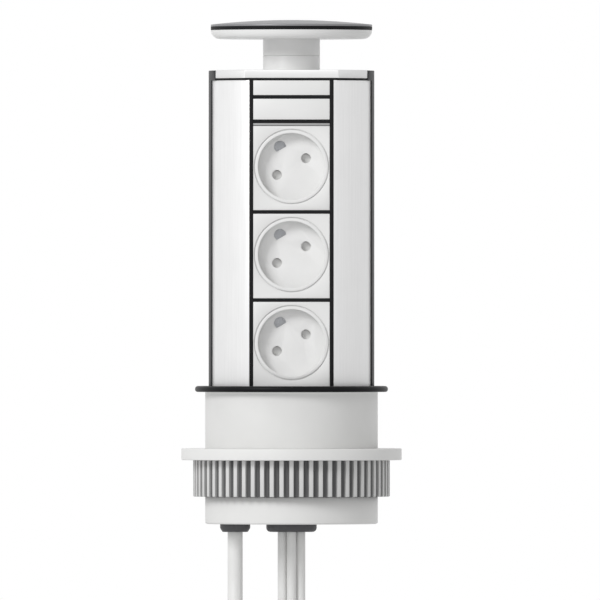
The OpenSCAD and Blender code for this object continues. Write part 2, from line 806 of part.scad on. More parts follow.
// Upper collar of the neck, with a spigot down into the stem
spigot_h = 4;
module neck_collar() color("#f8f8f6") {
    tube(neck_r, neck_in, collar_z, dish_z - collar_z);
    tube(neck_r - neck_wall / 2 - fit_gap, neck_in, collar_z - spigot_h, spigot_h + eps);
}

// Lower part of the neck: it slides through the top cap, and its lip stops under the bush
module stem() color("#f8f8f6") {
    difference() {
        union() {
            tube(neck_r, neck_in, stem_z, collar_z - stem_z);
            tube(neck_r + stem_lip, neck_in, stem_z, stem_lip_h);
        }
        translate([0, 0, collar_z - spigot_h - fit_gap]) cylinder(r = neck_r - neck_wall / 2, h = spigot_h + 1);
    }
}

// Striker under the lid that drops into the latch's post when the lid is pressed
striker_flange = 2;
module latch_striker() color("#c4c7cb") {
    low = cup_z + cup_floor + lid_travel + 0.7;
    translate([0, 0, low + 2]) cylinder(r = striker_r, h = dish_z - low - 2);
    translate([0, 0, low]) cylinder(r1 = striker_r - 1, r2 = striker_r, h = 2 + eps);
    translate([0, 0, dish_z - striker_flange]) cylinder(r = neck_in - 1, h = striker_flange);
}

// Coil spring under the striker's flange: it lifts the lid when the latch lets go
module latch_spring() color("#c9ccd0") {
    wire = 1.4;
    spring_r = 9.5;
    coils = 8;
    low = cup_z + cup_floor + wire / 2;
    high = dish_z - striker_flange - wire / 2;
    steps = coils * 10;
    path = [for (k = [0:steps]) let (a = k * 36)
        [spring_r * cos(a), spring_r * sin(a), low + (high - low) * k / steps]];
    sweep(path, wire, 6, [0, 0, 1]);
}

// Leads: each leaves its gland straight down, leans over at 45 degrees and runs into a round coil.
// The coil lies in a plane across X in two layers: it winds in through the first and out through the second.
coil_start = 135;
mains_loops = 6.125;
mains_step = 9.1;
mains_coil_r = 62.5;
mains_tail = 35;
mains_layers = [-32.1, -41.2];
mains_route = [
    [-32.1, 0, -80], [-32.1, 0, -92], [-32.1, 0, -103.4], [-32.1, -1.4, -113.8], [-32.1, -5.4, -123.4],
    [-32.1, -11.7, -131.7], [-32.1, -20, -140], [-32.1, -29, -149], [-32.1, -38, -158]
];
data_loops = 7.125;
data_step = 6;
data_coil_r = 41.7;
data_tail = 20;
data_layers = [[-9, -15], [-3, 3], [9, 15]];
data_routes = [
    [[-5.2, 1.3, -80], [-5.2, 1.3, -100], [-5.2, 1.3, -120], [-5.6, 0.8, -126], [-6.4, -1.4, -132],
        [-7.4, -4.9, -137], [-8.4, -10, -141.2], [-8.9, -16, -147], [-9, -21, -152], [-9, -26, -157]],
    [[0, -1.8, -80], [0, -1.8, -100], [0, -1.8, -122], [-0.3, -2.6, -129], [-1.1, -4.9, -135],
        [-2.1, -8.3, -139.3], [-2.8, -13, -144], [-3, -17, -148], [-3, -21, -152], [-3, -26, -157]],
    [[5.2, 1.3, -80], [5.2, 1.3, -100], [5.2, 1.3, -120], [5.6, 0.8, -126], [6.4, -1.4, -132],
        [7.4, -4.9, -137], [8.4, -10, -141.2], [8.9, -16, -147], [9, -21, -152], [9, -26, -157]]
];

function last(v) = v[len(v) - 1];
function ease(t) = let (c = min(1, max(0, t))) c * c * (3 - 2 * c);

// Middle of a coil that starts one straight diameter past the end of a lead
function coil_centre(end, r, d) = [end[1], end[2]] + d * [-sin(coil_start), cos(coil_start)]
    - r * [cos(coil_start), sin(coil_start)];

// A lead's coil: a straight diameter, the loops of both layers, and a straight tail downwards
function coil_path(end, r, d, step, loops, layers, tail) =
    let (c = coil_centre(end, r, d), n = round(loops * 24))
    concat(
        [end],
        [for (k = [0:n])
            let (u = k / 24, a = coil_start + 360 * u, q = r - step * min(u, loops - u))
            [layers[0] + (layers[1] - layers[0]) * ease((u - loops / 2 + 0.25) / 0.5),
                c[0] + q * cos(a), c[1] + q * sin(a)]],
        [[layers[1], c[0] - r, c[1] - tail / 2], [layers[1], c[0] - r, c[1] - tail]]
    );

// Least distance between two stretches of a path that lie at least half a turn apart, less the diameter
function self_gap(path, d) = min([
    for (a = [0:len(path) - 13]) for (b = [a + 12:len(path) - 1]) norm(path[a] - path[b])
]) - d;

mains_coil_path = coil_path(last(mains_route), mains_coil_r, mains_lead_d, mains_step, mains_loops,
    mains_layers, mains_tail);
data_coil_paths = [for (k = [0:2]) coil_path(last(data_routes[k]), data_coil_r, data_lead_d, data_step,
    data_loops, data_layers[k], data_tail)];
mains_tip = last(mains_coil_path);

module mains_lead() color("#f6f6f4")
    sweep(concat([[-mains_x, 0, gland_z]], [for (k = [1:len(mains_route) - 1]) mains_route[k]]),
        mains_lead_d, 12, [1, 0, 0]);

module mains_coil() color("#f6f6f4") {
    echo(mains_coil_gap = self_gap(mains_coil_path, mains_lead_d));
    sweep(mains_coil_path, mains_lead_d, 6, [1, 0, 0], 30);
}

module data_lead(k) color("#f6f6f4")
    sweep(concat([[data_at[k][0], data_at[k][1], gland_z]],
        [for (j = [1:len(data_routes[k]) - 1]) data_routes[k][j]]), data_lead_d, 10, [1, 0, 0.02]);

module data_coil(k) color("#f6f6f4") {
    echo(data_coil_gap = self_gap(data_coil_paths[k], data_lead_d));
    sweep(data_coil_paths[k], data_lead_d, 6, [1, 0, 0], 30);
}

// Round plug of the mains lead, hanging pins down
plug_neck_h = 18;
plug_body_h = 36;
plug_r = 18.4;
plug_face = mains_tip[2] - plug_neck_h - plug_body_h;
module mains_plug() color("#f4f4f2") {
    translate([mains_tip[0], mains_tip[1], mains_tip[2]]) difference() {
        rotate_extrude() polygon([
            [0, 0], [5.4, 0], [6.8, -plug_neck_h], [9.5, -plug_neck_h - 3], [11.5, -plug_neck_h - 12],
            [13, -plug_neck_h - 20], [17.4, -plug_neck_h - 24], [plug_r, -plug_neck_h - 26],
            [plug_r, -plug_neck_h - plug_body_h + 1], [plug_r - 1, -plug_neck_h - plug_body_h],
            [0, -plug_neck_h - plug_body_h]
        ]);
        for (j = [0:2]) translate([0, 0, -4 - j * 4.5]) difference() {
            cylinder(r = 9, h = 1.6);
            translate([0, 0, -1]) cylinder(r = 4.8, h = 4);
            translate([-10, -2.2, -1]) cube([20, 4.4, 4]);
        }
    }
}

// Two round pins and the half-round earth pin of the plug
plug_pin_d = 4.8;
plug_pin_h = 19;
earth_pin_h = 14;
module mains_plug_pins() color("#c4c7cb") {
    for (s = [-1, 1]) translate([mains_tip[0], mains_tip[1] + s * pin_span / 2, plug_face - plug_pin_h])
        cylinder(d = plug_pin_d, h = plug_pin_h);
    translate([mains_tip[0] + earth_off, mains_tip[1], plug_face - earth_pin_h]) rotate([0, 0, -90])
        linear_extrude(earth_pin_h) difference() {
            circle(r = earth_r - 0.4);
            translate([-10, -earth_flat + 0.4 - 20]) square([20, 20]);
        }
}

// Modular connector on a thin lead, hanging with its contacts down
boot_h = 11;
jack_h = 21;
module data_plug(k) color("#e4e6ea") {
    tip = last(data_coil_paths[k]);
    half_w = 5.7;
    half_d = 4.1;
    translate(tip) {
        difference() {
            union() {
                translate([-3.2, -3.2, -boot_h]) cube([6.4, 6.4, boot_h]);
                translate([-half_w, -half_d, -boot_h - jack_h]) cube([2 * half_w, 2 * half_d, jack_h]);
            }
            for (j = [-3.5:3.5]) translate([j * 1.02 - 0.3, half_d - 1.2, -boot_h - jack_h - 1]) cube([0.6, 2, 6]);
        }
        rotate([90, 0, 90]) translate([0, 0, -3.1]) linear_extrude(6.2) polygon([
            [-half_d + 0.1, -boot_h - jack_h + 1], [-half_d - 2.4, -boot_h - 3], [-half_d - 1.5, -boot_h - 3],
            [-half_d + 0.1, -boot_h - jack_h + 3.5]
        ]);
    }
}

flange_ring();
sleeve();
clamp_ring();
clamp_nut();
tower_profile();
glide_strips();
cap_seal();
top_cap();
cap_screws();
stem_guide();
latch_cup();
module_carrier();
blank_panel();
name_panel();
grey_strip();
lower_panel();
socket_front(0);  // socket_front_1
socket_front(1);  // socket_front_2
socket_front(2);  // socket_front_3
socket_floor(0);  // socket_floor_1
socket_floor(1);  // socket_floor_2
socket_floor(2);  // socket_floor_3
socket_housing(0);  // socket_housing_1
socket_housing(1);  // socket_housing_2
socket_housing(2);  // socket_housing_3
shutter(0);  // shutter_1
shutter(1);  // shutter_2
shutter(2);  // shutter_3
shutter_spring(0);  // shutter_spring_1
shutter_spring(1);  // shutter_spring_2
shutter_spring(2);  // shutter_spring_3
live_contacts();
earth_contacts();
busbars();
terminal_block();
inner_leads();
data_block();
end_cap();
mains_gland();
data_gland();
lid_top();
lid_gasket();
lid_dish();
neck_collar();
stem();
latch_striker();
latch_spring();
mains_lead();
mains_coil();
mains_plug();
mains_plug_pins();
data_lead(0);  // data_lead_1
data_lead(1);  // data_lead_2
data_lead(2);  // data_lead_3
data_coil(0);  // data_coil_1
data_coil(1);  // data_coil_2
data_coil(2);  // data_coil_3
data_plug(0);  // data_plug_1
data_plug(1);  // data_plug_2
data_plug(2);  // data_plug_3
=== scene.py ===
"""Looks of the pop up desk socket: metres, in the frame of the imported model."""

import json
import math

import bmesh
import bpy
from mathutils import Matrix, Vector


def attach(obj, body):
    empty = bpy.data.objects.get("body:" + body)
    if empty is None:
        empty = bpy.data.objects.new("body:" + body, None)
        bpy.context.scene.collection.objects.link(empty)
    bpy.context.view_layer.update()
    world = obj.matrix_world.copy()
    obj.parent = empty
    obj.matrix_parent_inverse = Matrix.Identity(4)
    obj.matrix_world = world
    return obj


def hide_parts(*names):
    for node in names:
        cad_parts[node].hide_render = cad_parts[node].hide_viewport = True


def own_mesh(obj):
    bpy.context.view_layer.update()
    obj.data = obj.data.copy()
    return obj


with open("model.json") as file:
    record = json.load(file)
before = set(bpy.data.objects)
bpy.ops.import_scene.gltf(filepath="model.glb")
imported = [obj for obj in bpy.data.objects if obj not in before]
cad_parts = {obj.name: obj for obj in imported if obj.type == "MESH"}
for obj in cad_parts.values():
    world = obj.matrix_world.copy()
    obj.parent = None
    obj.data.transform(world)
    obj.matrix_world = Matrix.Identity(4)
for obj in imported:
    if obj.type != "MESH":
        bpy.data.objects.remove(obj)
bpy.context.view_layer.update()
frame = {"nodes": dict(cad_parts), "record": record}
NODES = frame["nodes"]
MM = 0.001
WELD = 1e-6


# Camera: straight at the sockets, from far off, so that the view has no perspective to speak of

VIEW_WIDTH = 0.342
VIEW_CENTRE = (0.00485, 0.0524)
LENS = 1500
SENSOR = 36
CAMERA_DISTANCE = VIEW_WIDTH * LENS / SENSOR
CLIP_END = 60


def make_camera():
    data = bpy.data.cameras.new("camera")
    data.lens = LENS
    data.sensor_width = SENSOR
    data.clip_end = CLIP_END
    camera = bpy.data.objects.new("camera", data)
    camera.location = (VIEW_CENTRE[0], -CAMERA_DISTANCE, VIEW_CENTRE[1])
    camera.rotation_euler = (math.radians(90), 0, 0)
    bpy.context.scene.collection.objects.link(camera)
    bpy.context.scene.camera = camera


make_camera()


# Meshes


def new_object(name, verts, faces):
    """An object at the origin, whose place is in its mesh."""
    mesh = bpy.data.meshes.new(name)
    mesh.from_pydata(verts, [], faces)
    mesh.validate()
    mesh.polygons.foreach_set("use_smooth", [True] * len(mesh.polygons))
    piece = bpy.data.objects.new(name, mesh)
    bpy.context.scene.collection.objects.link(piece)
    return piece


def sharpen(piece, angle=35):
    """Edges sharper than the angle stay crisp, the rest shade smooth."""
    bm = bmesh.new()
    bm.from_mesh(piece.data)
    for edge in bm.edges:
        edge.smooth = not edge.is_manifold or edge.calc_face_angle(0) < math.radians(angle)
    for face in bm.faces:
        face.smooth = True
    bm.to_mesh(piece.data)
    bm.free()
    return piece


def faced_outwards(piece):
    """A closed piece with every face pointing outwards, and its edges sharpened."""
    bm = bmesh.new()
    bm.from_mesh(piece.data)
    bmesh.ops.recalc_face_normals(bm, faces=bm.faces)
    bm.to_mesh(piece.data)
    bm.free()
    return sharpen(piece)


def joined_rings(rings, around):
    """Quads that join each ring of vertices to the next one."""
    faces = []
    for k in range(rings - 1):
        for j in range(around):
            a, b = k * around + j, k * around + (j + 1) % around
            faces.append((a, b, b + around, a + around))
    return faces


def tube_mesh(name, path, radius, sides):
    """A closed round tube along a path, its rings turned as little as possible from one to the next."""
    points = [Vector(p) for p in path]
    count = len(points)
    tangents = [(points[min(k + 1, count - 1)] - points[max(k - 1, 0)]).normalized() for k in range(count)]
    across = tangents[0].orthogonal().normalized()
    verts = []
    for point, tangent in zip(points, tangents):
        across = (across - tangent * across.dot(tangent)).normalized()
        upward = tangent.cross(across)
        for j in range(sides):
            turn = 2 * math.pi * j / sides
            verts.append(point + radius * (math.cos(turn) * across + math.sin(turn) * upward))
    first, last = range(sides), range((count - 1) * sides, count * sides)
    faces = [tuple(reversed(first)), *joined_rings(count, sides), tuple(last)]
    return sharpen(new_object(name, verts, faces))


def smooth_route(points, steps=4):
    """Points on one smooth curve through the route's own points."""
    p = [Vector(q) for q in points]
    p = [2 * p[0] - p[1]] + p + [2 * p[-1] - p[-2]]
    curve = []
    for k in range(1, len(p) - 2):
        a, b, c, d = p[k - 1 : k + 3]
        for s in range(steps):
            t = s / steps
            square, cube = 2 * a - 5 * b + 4 * c - d, 3 * b - a - 3 * c + d
            curve.append(0.5 * (2 * b + (c - a) * t + square * t * t + cube * t**3))
    return curve + [p[-2]]


def route_length(path):
    return sum((Vector(b) - Vector(a)).length for a, b in zip(path, path[1:]))


# Leads: each leaves its gland straight down and runs into a round coil, which hangs below the view.
# Lengths are millimetres, loops are turns of the coil, and layers are the X of its two layers.

COIL_START = 135
RINGS_A_LOOP = 48
CHANGE_OF_LAYER = 0.5
TIE_ANGLE = 96
TIE_THICKNESS = 1.1
TIE_WIDTH = 12
TIE_GAP, TIE_OUTER_GAP = 0.2, 0.4
MAINS = {
    "diameter": 8.6,
    "route": [
        (-32.1, 0, -79.8), (-32.1, 0, -92), (-32.1, 0, -103.4), (-32.1, -1.4, -113.8),
        (-32.1, -5.4, -123.4), (-32.1, -11.7, -131.7), (-32.1, -20, -140), (-32.1, -29, -149),
        (-32.1, -38, -158),
    ],
    "radius": 62.5, "step": 9.1, "loops": 6.125, "layers": (-32.1, -41.2), "tail": 35,
}
DATA = {"diameter": 5.5, "radius": 41.7, "step": 6, "loops": 7.125, "tail": 20}
DATA_ROUTES = [
    [
        (-5.2, 1.3, -79.8), (-5.2, 1.3, -100), (-5.2, 1.3, -120), (-5.6, 0.8, -126), (-6.4, -1.4, -132),
        (-7.4, -4.9, -137), (-8.4, -10, -141.2), (-8.9, -16, -147), (-9, -21, -152), (-9, -26, -157),
    ],
    [
        (0, -1.8, -79.8), (0, -1.8, -100), (0, -1.8, -122), (-0.3, -2.6, -129), (-1.1, -4.9, -135),
        (-2.1, -8.3, -139.3), (-2.8, -13, -144), (-3, -17, -148), (-3, -21, -152), (-3, -26, -157),
    ],
    [
        (5.2, 1.3, -79.8), (5.2, 1.3, -100), (5.2, 1.3, -120), (5.6, 0.8, -126), (6.4, -1.4, -132),
        (7.4, -4.9, -137), (8.4, -10, -141.2), (8.9, -16, -147), (9, -21, -152), (9, -26, -157),
    ],
]
DATA_LAYERS = [(-9, -15), (-3, 3), (9, 15)]


def ease(t):
    """From 0 to 1 with a soft start and end."""
    t = min(1, max(0, t))
    return t * t * (3 - 2 * t)


def coil_centre(lead):
    """Y and Z of the coil's middle: the coil starts one diameter straight past the end of the route."""
    end, turn = lead["route"][-1], math.radians(COIL_START)
    return tuple(
        end[1 + k] + lead["diameter"] * (-math.sin(turn), math.cos(turn))[k]
        - lead["radius"] * (math.cos(turn), math.sin(turn))[k]
        for k in (0, 1)
    )


def lead_path(lead):
    """The whole centreline: the route, both layers of loops, and the straight tail down to the plug."""
    cy, cz = coil_centre(lead)
    first, second = lead["layers"]
    loops, tail = lead["loops"], lead["tail"]
    path = smooth_route(lead["route"])
    count = round(loops * RINGS_A_LOOP)
    for k in range(count + 1):
        turns = k / RINGS_A_LOOP
        angle = math.radians(COIL_START + 360 * turns)
        reach = lead["radius"] - lead["step"] * min(turns, loops - turns)
        x = first + (second - first) * ease((turns - loops / 2) / CHANGE_OF_LAYER + 0.5)
        path.append(Vector((x, cy + reach * math.cos(angle), cz + reach * math.sin(angle))))
    for quarter in (1, 2, 3, 4):
        path.append(Vector((second, cy - lead["radius"], cz - tail * quarter / 4)))
    return [p * MM for p in path]


def band_mesh(name, centre, angle, x_range, reach_range, thickness, width):
    """A strap round a coil's bundle: a rounded loop in the plane that holds the coil's axis."""
    turn = math.radians(angle)
    outward = Vector((0, math.cos(turn), math.sin(turn)))
    along = Vector((0, -math.sin(turn), math.cos(turn)))
    x0, x1 = x_range
    r0, r1 = reach_range
    corner, arc_steps = min(x1 - x0, r1 - r0) / 2 * 0.9, 8
    outline = []
    for cx, cr, start in (
        (x1 - corner, r1 - corner, 0), (x0 + corner, r1 - corner, 90),
        (x0 + corner, r0 + corner, 180), (x1 - corner, r0 + corner, 270),
    ):
        for s in range(arc_steps + 1):
            a = math.radians(start + 90 * s / arc_steps)
            outline.append((cx + corner * math.cos(a), cr + corner * math.sin(a), math.cos(a), math.sin(a)))
    middle = Vector((0, *centre))
    verts, count = [], len(outline)
    for x, r, nx, nr in outline:
        for grow, side in ((0, -1), (thickness, -1), (thickness, 1), (0, 1)):
            place = middle + Vector((x + nx * grow, 0, 0)) + outward * (r + nr * grow)
            verts.append((place + along * side * width / 2) * MM)
    faces = []
    for k in range(count):
        for j in range(4):
            here, after, side = 4 * k, 4 * ((k + 1) % count), (j + 1) % 4
            faces.append((here + j, here + side, after + side, after + j))
    return faced_outwards(new_object(name, verts, faces))


def make_lead(name, lead, sides, solids):
    """One whole lead as a tube, its tie, and the measured facts of its course."""
    path = lead_path(lead)
    d = lead["diameter"]
    piece = tube_mesh(name, path, d * MM / 2, sides)
    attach(piece, "tower")
    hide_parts(*solids)
    inner = lead["radius"] - lead["step"] * lead["loops"] / 2
    x0, x1 = sorted(lead["layers"])
    tie = band_mesh(
        name + "_tie", coil_centre(lead), TIE_ANGLE, (x0 - d / 2 - TIE_GAP, x1 + d / 2 + TIE_GAP),
        (inner - d / 2 - TIE_GAP, lead["radius"] + d / 2 + TIE_OUTER_GAP), TIE_THICKNESS, TIE_WIDTH,
    )
    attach(tie, "tower")
    course = {
        "exit": tuple(path[0]), "length": route_length(path), "diameter": d * MM, "lay": "coiled",
        "path": [tuple(p) for p in path],
    }
    return piece, tie, course


mains_lead, mains_tie, mains_course = make_lead("mains_lead_whole", MAINS, 16, ["mains_lead", "mains_coil"])
data_leads = [
    make_lead(
        f"data_lead_{n}_whole", dict(DATA, route=DATA_ROUTES[n - 1], layers=DATA_LAYERS[n - 1]), 12,
        [f"data_lead_{n}", f"data_coil_{n}"],
    )
    for n in (1, 2, 3)
]


# Materials. Noise scales are features in a metre, and bump distances are metres.

CLOUDS, BROAD_CLOUDS, DRAWN_LINES, FINE_GRAIN = 45, 60, 1500, 2600
NOISE_LOW, NOISE_HIGH = 0.3, 0.7
SEEING_RAYS = ("Is Camera Ray", "Is Glossy Ray", "Is Transmission Ray")


class Value:
    """A node's output, for use in Python's sums: each operation adds one Math or Vector Math node."""

    def __init__(self, graph, socket):
        self.graph, self.socket = graph, socket

    def combine(self, operation, first, second):
        """One operation on two values, of which one may be a number or a tuple."""
        wide = any(isinstance(v, Value) and v.socket.type in ("VECTOR", "RGBA") for v in (first, second))
        kind = "ShaderNodeVectorMath" if wide else "ShaderNodeMath"
        return self.graph.node(kind, {"operation": operation}, {0: first, 1: second})

    def __add__(self, other):
        return self.combine("ADD", self, other)

    def __radd__(self, other):
        return self.combine("ADD", other, self)

    def __sub__(self, other):
        return self.combine("SUBTRACT", self, other)

    def __rsub__(self, other):
        return self.combine("SUBTRACT", other, self)

    def __mul__(self, other):
        return self.combine("MULTIPLY", self, other)

    def __rmul__(self, other):
        return self.combine("MULTIPLY", other, self)


class Graph:
    """One procedural material, in the object's own coordinates, which are metres of the model."""

    def __init__(self, name, **constants):
        self.material = bpy.data.materials.new(name)
        self.material.use_nodes = True
        self.tree = self.material.node_tree
        self.tree.nodes.clear()
        self.output = self.tree.nodes.new("ShaderNodeOutputMaterial")
        self.shader = self.tree.nodes.new("ShaderNodeBsdfPrincipled")
        self.tree.links.new(self.shader.outputs[0], self.output.inputs[0])
        for key, value in constants.items():
            self.shader.inputs[key.replace("_", " ")].default_value = value
        self.point = self.node("ShaderNodeTexCoord", output="Object")

    def node(self, kind, settings=None, inputs=None, output=0):
        """A node of that type, its settings first, then its sockets' values and links."""
        made = self.tree.nodes.new(kind)
        for key, value in (settings or {}).items():
            setattr(made, key, value)
        for key, value in (inputs or {}).items():
            self.feed(made.inputs[key], value)
        return Value(self, made.outputs[output])

    def feed(self, socket, value):
        """Links a value to the socket, or sets it. A number is set on all of a vector's axes."""
        if isinstance(value, Value):
            self.tree.links.new(value.socket, socket)
        elif socket.type in ("VECTOR", "RGBA") and not hasattr(value, "__len__"):
            socket.default_value = [value] * len(socket.default_value)
        else:
            socket.default_value = value

    def noise(self, scale, stretch=(1, 1, 1), detail=3):
        return self.node(
            "ShaderNodeTexNoise", inputs={"Vector": self.point * stretch, "Scale": scale, "Detail": detail}
        )

    def spread(self, value, start=0, end=1, low=NOISE_LOW, high=NOISE_HIGH):
        """The value from low to high turned into start to end, and kept within them."""
        return self.node("ShaderNodeMapRange", inputs={0: value, 1: low, 2: high, 3: start, 4: end})

    def mix(self, share, first, second):
        return self.node("ShaderNodeMix", {"data_type": "RGBA"}, {0: share, 6: first, 7: second}, 2)

    def bump(self, height, distance, strength=1):
        inputs = {"Strength": strength, "Distance": distance, "Height": height}
        return self.node("ShaderNodeBump", inputs=inputs)

    def pale_and_one_sided(self, lift):
        """Lifts the surface towards white where it is seen, shadows and all, and clears it from its back."""
        camera, glossy, through = (self.node("ShaderNodeLightPath", output=ray) for ray in SEEING_RAYS)
        share = self.spread(camera + glossy + through, 0, lift, 0, 1)
        white = self.node("ShaderNodeEmission", inputs={"Color": (1, 1, 1, 1), "Strength": 1})
        shown = Value(self, self.shader.outputs[0])
        pale = self.node("ShaderNodeMixShader", inputs={0: share, 1: shown, 2: white})
        behind = self.node("ShaderNodeNewGeometry", output="Backfacing")
        clear = self.node("ShaderNodeBsdfTransparent")
        blend = self.node("ShaderNodeMixShader", inputs={0: behind, 1: pale, 2: clear})
        self.tree.links.new(blend.socket, self.output.inputs[0])

    def dress(self, **inputs):
        """Links what varies over the surface to the shader."""
        for key, value in inputs.items():
            self.feed(self.shader.inputs[key.replace("_", " ")], value)
        return self.material


def tint(colour, share=1.0):
    """A colour with its alpha, darkened to the share."""
    return tuple(c * share for c in colour) + (1,)


def moulded(name, colour, roughness, grain=0.00002, shade=0.96, coat=0.0, specular=0.5):
    """Moulded plastic or rubber: faint clouds in the colour, and a fine eroded grain."""
    g = Graph(name, Metallic=0, Coat_Weight=coat, Coat_Roughness=0.2, Specular_IOR_Level=specular)
    clouds = g.spread(g.noise(CLOUDS))
    fine = g.noise(FINE_GRAIN, detail=2)
    return g.dress(
        Base_Color=g.mix(clouds, tint(colour, shade), tint(colour)),
        Roughness=g.spread(fine, roughness - 0.05, roughness + 0.05),
        Normal=g.bump(fine, grain, 0.6),
    )


def metal(name, colour, roughness, stretch, metallic=1.0, shade=0.93, groove=0.00001):
    """Metal brushed or drawn along the axis that the stretch leaves long."""
    g = Graph(name, Metallic=metallic)
    lines = g.noise(DRAWN_LINES, stretch)
    broad = g.noise(BROAD_CLOUDS)
    return g.dress(
        Base_Color=g.mix(g.spread(lines * 0.7 + broad * 0.3), tint(colour, shade), tint(colour)),
        Roughness=g.spread(lines, roughness - 0.04, roughness + 0.06),
        Normal=g.bump(lines, groove, 0.5),
    )


# Metres from the axis at which the nut's painted flute shade is darkest and its ribs palest, and how uneven
# that limit is
FLUTE_DARK_R, RIB_PALE_R, UNEVEN = 0.0547, 0.0563, 0.0004


def grey_with_painted_flute_shade(name):
    """Moulded grey of the nut with painted shade in its flutes: the colour goes down with the distance from
    the axis, into the flutes, where shade falls.
    """
    g = Graph(name, Metallic=0, Roughness=0.5)
    x, y = (g.node("ShaderNodeSeparateXYZ", inputs={0: g.point}, output=k) for k in (0, 1))
    radius = g.node("ShaderNodeMath", {"operation": "SQRT"}, {0: x * x + y * y})
    # Painted shade: the flutes are coloured dark where shade falls in them, and the ribs stay pale grey
    painted_flute_shade = g.spread(radius + g.noise(CLOUDS) * UNEVEN, low=FLUTE_DARK_R, high=RIB_PALE_R)
    return g.dress(
        Base_Color=g.mix(painted_flute_shade, tint((0.09, 0.09, 0.092)), tint((0.72, 0.72, 0.715))),
        Normal=g.bump(g.noise(FINE_GRAIN, detail=2), 0.00002, 0.6),
    )


ALONG_Z = (1, 1, 0.02)
ALONG_X = (0.02, 1, 1)
EVEN = (1, 1, 1)
MATERIALS = {
    "flange_black": moulded("flange_black", (0.006, 0.006, 0.007), 0.42, specular=0.12),
    "sleeve_white": moulded("sleeve_white", (0.86, 0.86, 0.85), 0.45),
    "clamp_white": moulded("clamp_white", (0.87, 0.87, 0.86), 0.45),
    "nut_grey": grey_with_painted_flute_shade("nut_grey"),
    "aluminium": metal("aluminium", (0.9, 0.9, 0.9), 0.42, ALONG_Z, metallic=0.55),
    "cap_aluminium": metal("cap_aluminium", (0.86, 0.86, 0.86), 0.42, ALONG_X, metallic=0.5),
    "glide_dark": moulded("glide_dark", (0.03, 0.03, 0.032), 0.5, specular=0.3),
    "seal_black": moulded("seal_black", (0.008, 0.008, 0.009), 0.6, specular=0.15),
    "steel": metal("steel", (0.62, 0.63, 0.65), 0.3, EVEN),
    "inner_dark": moulded("inner_dark", (0.06, 0.06, 0.062), 0.5),
    "carrier_black": moulded("carrier_black", (0.008, 0.008, 0.009), 0.5, specular=0.15),
    "face_white": moulded("face_white", (0.88, 0.88, 0.875), 0.38, coat=0.15),
    "strip_grey": moulded("strip_grey", (0.4, 0.4, 0.4), 0.45),
    "housing_white": moulded("housing_white", (0.7, 0.7, 0.69), 0.5),
    "shutter_white": moulded("shutter_white", (0.8, 0.8, 0.79), 0.45),
    "brass": metal("brass", (0.72, 0.52, 0.22), 0.3, EVEN),
    "copper": metal("copper", (0.78, 0.4, 0.26), 0.3, EVEN),
    "lead_sheath": moulded("lead_sheath", (0.86, 0.86, 0.85), 0.48),
    "gland_grey": moulded("gland_grey", (0.075, 0.075, 0.08), 0.5),
    "lid_grey": metal("lid_grey", (0.27, 0.27, 0.28), 0.4, EVEN, metallic=0.3, shade=0.9),
    "plug_white": moulded("plug_white", (0.86, 0.86, 0.85), 0.42),
    "clear_plastic": moulded("clear_plastic", (0.75, 0.78, 0.8), 0.15, coat=0.5),
}


def finish_with(piece, name):
    """Gives the piece a record slot's finish, alone on the whole mesh."""
    piece.data.materials.clear()
    piece.data.materials.append(MATERIALS[name])
    return piece


SLOT_OF = {row["node"]: row["material_slot"] for row in frame["record"]["subparts"]}
for node_name, node_object in NODES.items():
    finish_with(node_object, SLOT_OF[node_name])
for lead_piece, tie, _ in [(mains_lead, mains_tie, mains_course), *data_leads]:
    finish_with(lead_piece, "lead_sheath")
    finish_with(tie, "seal_black")


# Turned pieces. A profile is a closed round of (radius, height, fillet) corners, in millimetres.


def rounded(profile, steps=4):
    """The closed profile of (r, z, fillet) corners with each fillet drawn as an arc."""
    outline = []
    for k, (r, z, fillet) in enumerate(profile):
        here = Vector((r, z))
        if fillet <= 0:
            outline.append(here)
            continue
        back = (Vector(profile[k - 1][:2]) - here).normalized()
        ahead = (Vector(profile[(k + 1) % len(profile)][:2]) - here).normalized()
        half = back.angle(ahead) / 2
        centre = here + (back + ahead).normalized() * fillet / math.sin(half)
        reach = fillet / math.tan(half)
        first, last = here + back * reach - centre, here + ahead * reach - centre
        turn = first.angle_signed(last)
        for s in range(steps + 1):
            outline.append(centre + Matrix.Rotation(-turn * s / steps, 2) @ first)
    return outline


def lathe(name, profile, node, centre=(0, 0), segments=192, spread=0):
    """A piece turned about the vertical axis through the centre; it stands for the CAD node.

    A spread moves its two halves that far out along X, which makes it oblong. The vertices stand at half
    steps, so that none lies between the halves.
    """
    outline = rounded(profile)
    verts, rows = [], []
    for point in outline:
        if abs(point.x) < WELD:
            rows.append([len(verts)] * segments)
            verts.append(Vector((centre[0], centre[1], point.y)) * MM)
            continue
        rows.append(range(len(verts), len(verts) + segments))
        for j in range(segments):
            turn = 2 * math.pi * (j + 0.5) / segments
            x = centre[0] + math.copysign(spread, math.cos(turn)) + point.x * math.cos(turn)
            verts.append(Vector((x, centre[1] + point.x * math.sin(turn), point.y)) * MM)
    faces = []
    for k, row in enumerate(rows):
        after = rows[(k + 1) % len(rows)]
        for j in range(segments):
            side = (j + 1) % segments
            corners = list(dict.fromkeys((row[j], row[side], after[side], after[j])))
            if len(corners) > 2:
                faces.append(corners)
    return stand_for(faced_outwards(new_object(name, verts, faces)), node)


def stand_for(piece, *nodes):
    """The piece takes the body, the finish and the place of the CAD nodes."""
    bodies = frame["record"]["behaviour"]["bodies"]
    body = next(name for name, members in bodies.items() if nodes[0] in members)
    finish_with(piece, SLOT_OF[nodes[0]])
    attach(piece, body)
    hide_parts(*nodes)
    return piece


# Bevelled copies of CAD nodes. The glide strips and their grooves lie outside GROOVE_R and reach
# STRIP_ARC degrees to each side of the X axis in the CAD, and STRIP_SHOWN degrees here.

STRIP_ARC, STRIP_SHOWN, GROOVE_R = 19.2, 14.6, 45.5
SEAL_Z, SEAL_MARGIN = 177.4, 0.1


